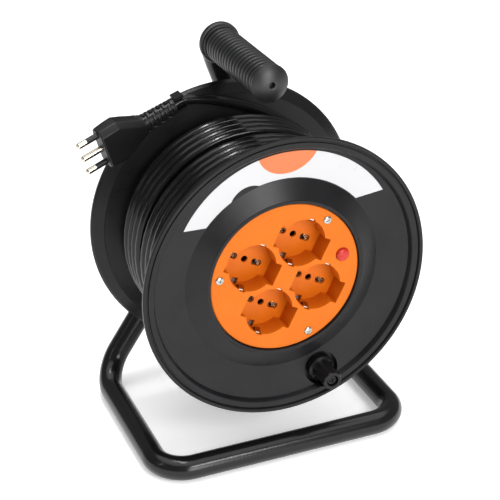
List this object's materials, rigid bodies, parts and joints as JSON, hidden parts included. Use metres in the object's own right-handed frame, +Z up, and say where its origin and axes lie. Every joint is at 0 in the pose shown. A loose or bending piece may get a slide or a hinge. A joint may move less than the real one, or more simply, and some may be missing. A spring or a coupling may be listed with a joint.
{
  "type": "extension cord reel",
  "caption": "Free-standing cable reel: a black flanged drum on a bent steel tube frame, with an orange panel of sockets, a cut-out button, a crank knob, and its cord and plug wound on.",
  "frame": {"origin": "on the floor, below the centre of the box round the reel without its free lead and plug", "axes": "+Z up; the drum turns about Y and the sockets face -Y; +X to the right seen from the sockets' side"},
  "size_m": [0.2534, 0.1971, 0.3313],
  "materials": {
    "tube_paint": "satin black powder coat",
    "grip_rubber": "matt soft black",
    "zinc_steel": "bright zinc plate",
    "dark_plastic": "moulded, fine texture",
    "bush_nylon": "natural, smooth",
    "drum_plastic": "moulded black, fine texture with a soft sheen",
    "panel_orange": "moulded orange, semi-gloss",
    "contact_brass": "plain",
    "earth_steel": "nickel plate",
    "button_red": "glossy red",
    "cord_sheath": "smooth black sheath with a soft sheen",
    "plug_black": "moulded black, soft sheen",
    "black_steel": "black, slightly worn",
    "label_white": "white film with a plain orange field and no print",
    "pin_nickel": "nickel plate"
  },
  "bodies": {
    "frame": {"frame_tube": "tube_paint", "handle_grip": "grip_rubber", "axle_collar": "zinc_steel", "thrust_washer": "zinc_steel", "retaining_cap": "dark_plastic"},
    "drum": {"hub_bush_front": "bush_nylon", "hub_bush_rear": "bush_nylon", "front_flange": "drum_plastic", "drum_barrel": "drum_plastic", "rear_flange": "drum_plastic", "info_label": "label_white", "front_screws": "zinc_steel", "rear_screws": "zinc_steel", "socket_panel": "panel_orange", "panel_screws": "zinc_steel", "line_contacts": "contact_brass", "neutral_contacts": "contact_brass", "earth_contacts": "earth_steel", "socket_cover": "dark_plastic", "cover_screw": "zinc_steel", "cutout_body": "dark_plastic", "cable_clamp": "dark_plastic", "clamp_screws": "zinc_steel", "knob_screw": "black_steel", "cord_tail": "cord_sheath", "cord_core": "cord_sheath", "cord_winding": "cord_sheath", "cord_lead": "cord_sheath", "strain_relief": "plug_black", "plug_body": "plug_black", "plug_insert": "dark_plastic", "plug_pins": "pin_nickel", "pin_sleeves": "plug_black"},
    "knob": {"crank_knob": "drum_plastic"},
    "button": {"reset_button": "button_red"}
  },
  "joints": [
    {"name": "drum_spin", "type": "hinge", "parent": "frame", "child": "drum", "pos_m": [0, -0.08145, 0.1645], "axis": [0, -1, 0], "range_deg": [-25, 285]},
    {"name": "knob_spin", "type": "hinge", "parent": "drum", "child": "knob", "pos_m": [0.03335, -0.08145, 0.07288], "axis": [0, -1, 0], "continuous": true},
    {"name": "reset_push", "type": "slide", "parent": "drum", "child": "button", "axis": [0, 1, 0], "range_m": [0, 0.002], "stiffness_N_per_m": 600, "springref_m": -0.001}
  ]
}
